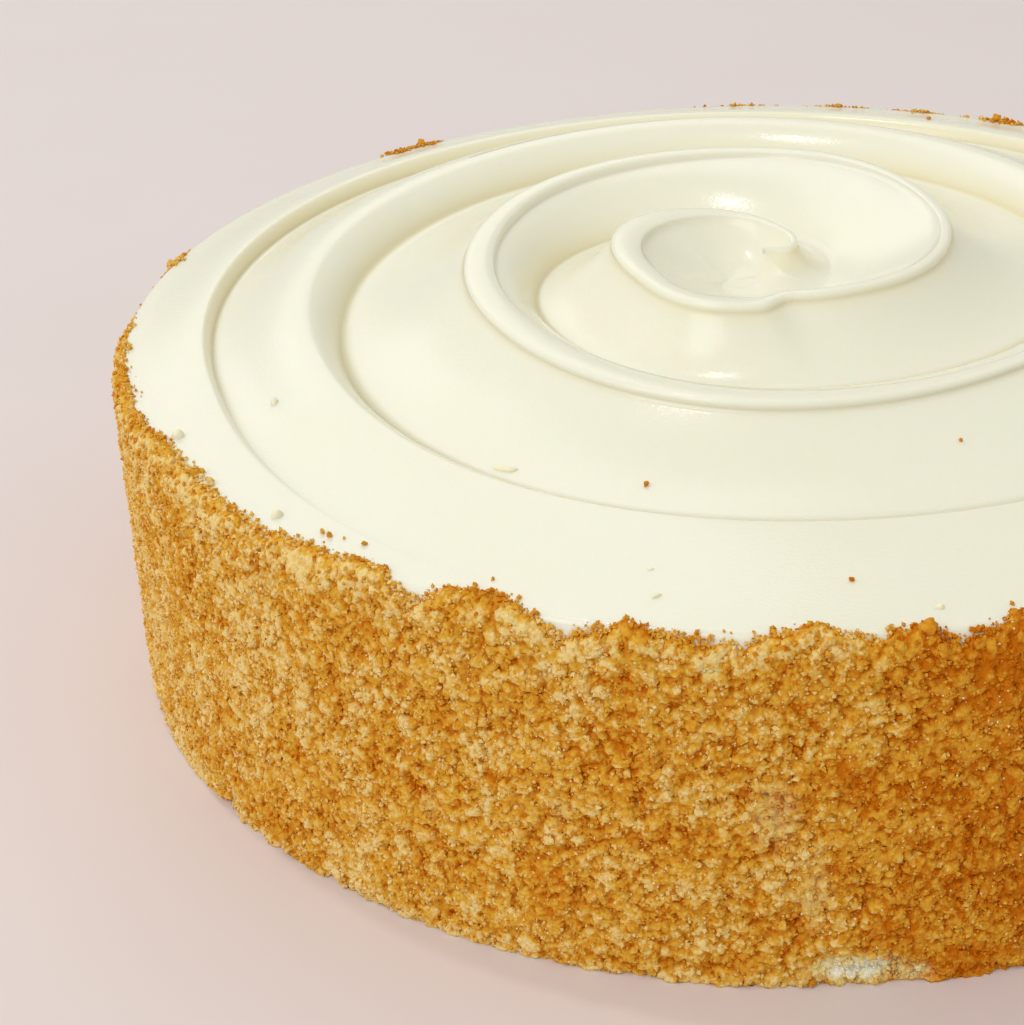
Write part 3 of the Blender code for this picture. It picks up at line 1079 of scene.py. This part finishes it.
def turned_any_way(count, draw):
    """Random turns, as one rotation matrix each."""
    quarter = draw.normal(size=(count, 4))
    w, x, y, z = (quarter / np.linalg.norm(quarter, axis=1, keepdims=True)).T
    rows = (
        (1 - 2 * (y * y + z * z), 2 * (x * y - z * w), 2 * (x * z + y * w)),
        (2 * (x * y + z * w), 1 - 2 * (x * x + z * z), 2 * (y * z - x * w)),
        (2 * (x * z - y * w), 2 * (y * z + x * w), 1 - 2 * (x * x + y * y)),
    )
    return np.stack([np.stack(row, axis=-1) for row in rows], axis=1)


def joined(name, copies, faces):
    """One piece made of copies of a shape: the points of each, in millimetres, and the faces they share."""
    numbered = faces[None] + (np.arange(len(copies)) * copies.shape[1])[:, None, None]
    mesh = bpy.data.meshes.new(name)
    mesh.from_pydata(copies.reshape(-1, 3) * MM, [], numbered.reshape(-1, faces.shape[1]))
    piece = bpy.data.objects.new(name, mesh)
    scene.collection.objects.link(piece)
    return piece


def join_copies(name, shapes, faces, places, sizes, draw):
    """One piece with a turned and sized copy at each place, in millimetres."""
    picked = shapes[draw.integers(len(shapes), size=len(places))]
    points = np.einsum("nij,nvj->nvi", turned_any_way(len(places), draw), picked) * sizes[:, None, None]
    return joined(name, points + places[:, None, :], faces)


# %% Where crumbs lie
middle = corners_of_crust.mean(axis=1)
out_of_crust = np.cross(
    corners_of_crust[:, 1] - corners_of_crust[:, 0],
    corners_of_crust[:, 2] - corners_of_crust[:, 0],
)
area = np.linalg.norm(out_of_crust, axis=1)
out_of_crust /= area[:, None] + 1e-9
middle_spread = np.hypot(middle[:, 0], middle[:, 1])
on_top = middle[:, 2] > RIM_HEIGHT + 0.05
under_edge = (middle[:, 2] > BEND_START - 3) & (middle_spread < WALL_RADIUS + 0.05)
shows = on_top | (middle_spread > UNDER_CRUST + 0.2) & ~under_edge
chance = np.where(shows, area, 0)
chance /= chance.sum()


def on_crust(count, sizes, draw, lift=0.15):
    """Random spots on the part of the crust that shows, and a little above it."""
    face = draw.choice(len(chance), size=count, p=chance)
    first, second = draw.random(size=(2, count, 1))
    over = first + second > 1
    first, second = np.where(over, 1 - first, first), np.where(over, 1 - second, second)
    corner = corners_of_crust[face]
    spot = corner[:, 0] + (corner[:, 1] - corner[:, 0]) * first + (corner[:, 2] - corner[:, 0]) * second
    return spot + out_of_crust[face] * lift * sizes[:, None]


def along_edge(count, sizes, draw):
    """Spots on the cream where the crust thins out, and a little beyond."""
    bearing = draw.uniform(0, 360, size=count)
    beyond = draw.exponential(0.35, size=count) - draw.uniform(0, 1.6, size=count)
    return on_cake(bearing, reach(bearing) + beyond, 0.3 * sizes)


def in_patches(count, sizes, draw):
    """Sparse spots in the thin patches."""
    patch = np.array(PATCHES)[draw.integers(len(PATCHES), size=count)]
    sideways, upwards = draw.normal(0, 0.75, size=(2, count))
    bearing = patch[:, 0] + np.degrees(sideways * patch[:, 2] / WALL_RADIUS)
    along = np.clip(patch[:, 1] + upwards * patch[:, 3], 0.4, reach(bearing))
    return on_cake(bearing, along, 0.3 * sizes)


def keep_inside(places, sizes):
    """Pull crumbs in so that none stands out past the coat or through the table."""
    spread = np.hypot(places[:, 0], places[:, 1])
    places[:, :2] *= np.minimum(1, (MOST_RADIUS - 0.6 * sizes) / spread)[:, None]
    places[:, 2] = np.maximum(places[:, 2], 0.75 * sizes)
    return places


print(f"crumbs may lie on {shows.sum()} faces of the crust")

# %% Kinds of crumb
# (name, on the crust, at the edge, in the patches, smallest mm, largest mm, roundness, browning, grain mm)
KINDS = (
    ("clumps", 1000, 10, 4, 1.2, 2.0, 2, 0.50, 1.0),
    ("golden_crumbs", 19500, 1500, 100, 0.65, 1.1, 0, 0.54, 1.1),
    ("pale_crumbs", 19300, 3500, 200, 0.5, 0.95, 0, 0.34, 1.1),
    ("toasted_crumbs", 14400, 1400, 100, 0.5, 1.0, 0, 0.78, 1.0),
    ("fine_crumbs", 18600, 5600, 200, 0.36, 0.62, 0, 0.50, 0.8),
    ("crumb_dust", 9000, 4500, 200, 0.24, 0.36, 0, 0.40, 0.7),
)
for number, (name, many, edge_many, patch_many, small, large, roundness, browning, grain) in enumerate(KINDS):
    draw = np.random.default_rng(100 + number)
    shapes, faces = lumps(12, roundness, 200 + number)
    sizes = draw.uniform(0, 1, size=many + edge_many + patch_many) ** 1.6 * (large - small) + small
    places = np.concatenate(
        [
            on_crust(many, sizes[:many], draw),
            along_edge(edge_many, sizes[many : many + edge_many], draw),
            in_patches(patch_many, sizes[many + edge_many :], draw),
        ]
    )
    crumbs = join_copies(name, shapes, faces, keep_inside(places, sizes), sizes, draw)
    own = draw.uniform(-0.5, 0.5, size=len(sizes))
    own[many : many + edge_many] -= 0.1
    mark(crumbs, np.repeat(own, shapes.shape[1]))
    settle(crumbs, crumb_finish(name, browning, grain), slot="crumb", smooth=False)

# %% [markdown]
# ## Strays on the cream
# A few crumbs fell short of the coat and lie on the top, and the knife let fall a few drops of cream. Each
# is told by a bearing and a radius. Its height could be typed in too, but a ray cast straight down finds
# the cream under it, so it rests on the surface and sinks in a little, whatever the swirl's shape.

# %% Strays
# (bearing, radius, length, width and height in mm, which way the length points)
DROPS = (
    (211.3, 78.9, 1.7, 1.1, 0.8, 100),
    (212.0, 93.4, 1.9, 1.4, 1.0, 20),
    (229.5, 93.6, 1.8, 1.4, 0.9, 60),
    (240.0, 66.6, 3.4, 0.9, 0.5, 160),
    (241.2, 66.0, 1.0, 0.7, 0.4, 10),
    (262.6, 90.0, 1.5, 0.5, 0.3, 40),
    (261.4, 84.6, 0.9, 0.6, 0.3, 30),
    (283.1, 92.6, 1.1, 0.8, 0.5, 0),
    (96.0, 80.0, 1.6, 1.1, 0.6, 70),
)
# (bearing, radius, size in mm)
STRAYS = (
    (257.1, 64.0, 0.9),
    (277.4, 85.9, 0.8),
    (296.8, 57.9, 0.6),
    (234.3, 92.8, 0.9),
    (235.2, 93.0, 1.0),
    (238.3, 91.9, 0.8),
    (236.4, 92.3, 0.5),
    (250.0, 91.6, 0.6),
    (70.0, 88.0, 0.9),
    (341.0, 91.0, 0.8),
)
DROP_IVORY, DROP_YELLOW = (0.97, 0.93, 0.74), (0.95, 0.86, 0.56)

drop_finish = Finish("cream_drops")
mottled = drop_finish.speckle(0.8, detail=2)
drop_finish.set(
    Base_Color=mottled.between(0.3, 0.7).tint(DROP_IVORY, DROP_YELLOW),
    Roughness=0.25 + mottled * 0.1,
    Normal=drop_finish.bump(mottled, 0.03),
)


def cream_under(bearing, radius):
    """The point of the cream's top at this bearing and radius, in millimetres."""
    angle = math.radians(bearing)
    above = Vector((radius * math.cos(angle), radius * math.sin(angle), RIM_HEIGHT + 30)) * MM
    return np.array(cream.ray_cast(above, Vector((0, 0, -1)))[1]) / MM


ball = start("drop", bpy.ops.mesh.primitive_ico_sphere_add, subdivisions=3, radius=0.5)
round_drop, drop_faces = points_of(ball), faces_of(ball)
bpy.data.objects.remove(ball)
drops = []
for bearing, radius, length, width, tall, turn in DROPS:
    drop = round_drop * np.array((length, width, 2 * tall))
    drop[:, 2] += 0.12 * np.sin(3 * round_drop[:, 0] + turn)
    cosine, sine = math.cos(math.radians(turn)), math.sin(math.radians(turn))
    drop[:, :2] = drop[:, :2] @ np.array(((cosine, sine), (-sine, cosine)))
    drops.append(drop + cream_under(bearing, radius))
settle(joined("cream_drops", np.array(drops), drop_faces), drop_finish.material, slot="cream")

# %% Stray crumbs
draw = np.random.default_rng(160)
shapes, faces = lumps(6, 1, 260)
sizes = np.array([size for _, _, size in STRAYS])
places = np.array([cream_under(bearing, radius) for bearing, radius, _ in STRAYS])
places[:, 2] += 0.3 * sizes
strays = join_copies("stray_crumbs", shapes, faces, places, sizes, draw)
mark(strays)
settle(strays, crumb_finish("stray_crumbs", 0.6, 0.8), slot="crumb", smooth=False)

# %% [markdown]
# ## Sugar
# The biscuit was rolled in sugar, and a grain of it glints here and there among the crumbs. A sparkle could
# be painted into the crumb finish, but only real grains catch the lamps from every side. They are as small
# as the crumb dust, they lie on the outside of the coat, and they are the only glassy ones.

# %% Sugar
HONEY, AMBER = (0.97, 0.80, 0.48), (0.93, 0.68, 0.30)

draw = np.random.default_rng(150)
shapes, faces = lumps(6, 0, 250)
sizes = draw.uniform(0.22, 0.38, size=6000)
places = on_crust(len(sizes), sizes, draw, lift=0.45)
sugar = join_copies("sugar_grains", shapes, faces, keep_inside(places, sizes), sizes, draw)
glassy = Finish("sugar_grains")
cloudy = glassy.speckle(0.2, detail=1)
glassy.set(
    Base_Color=cloudy.tint(HONEY, AMBER),
    Roughness=0.1 + cloudy * 0.15,
    Normal=glassy.bump(cloudy, 0.01),
    IOR=1.55,
)
settle(sugar, glassy.material, slot="crumb", smooth=False)
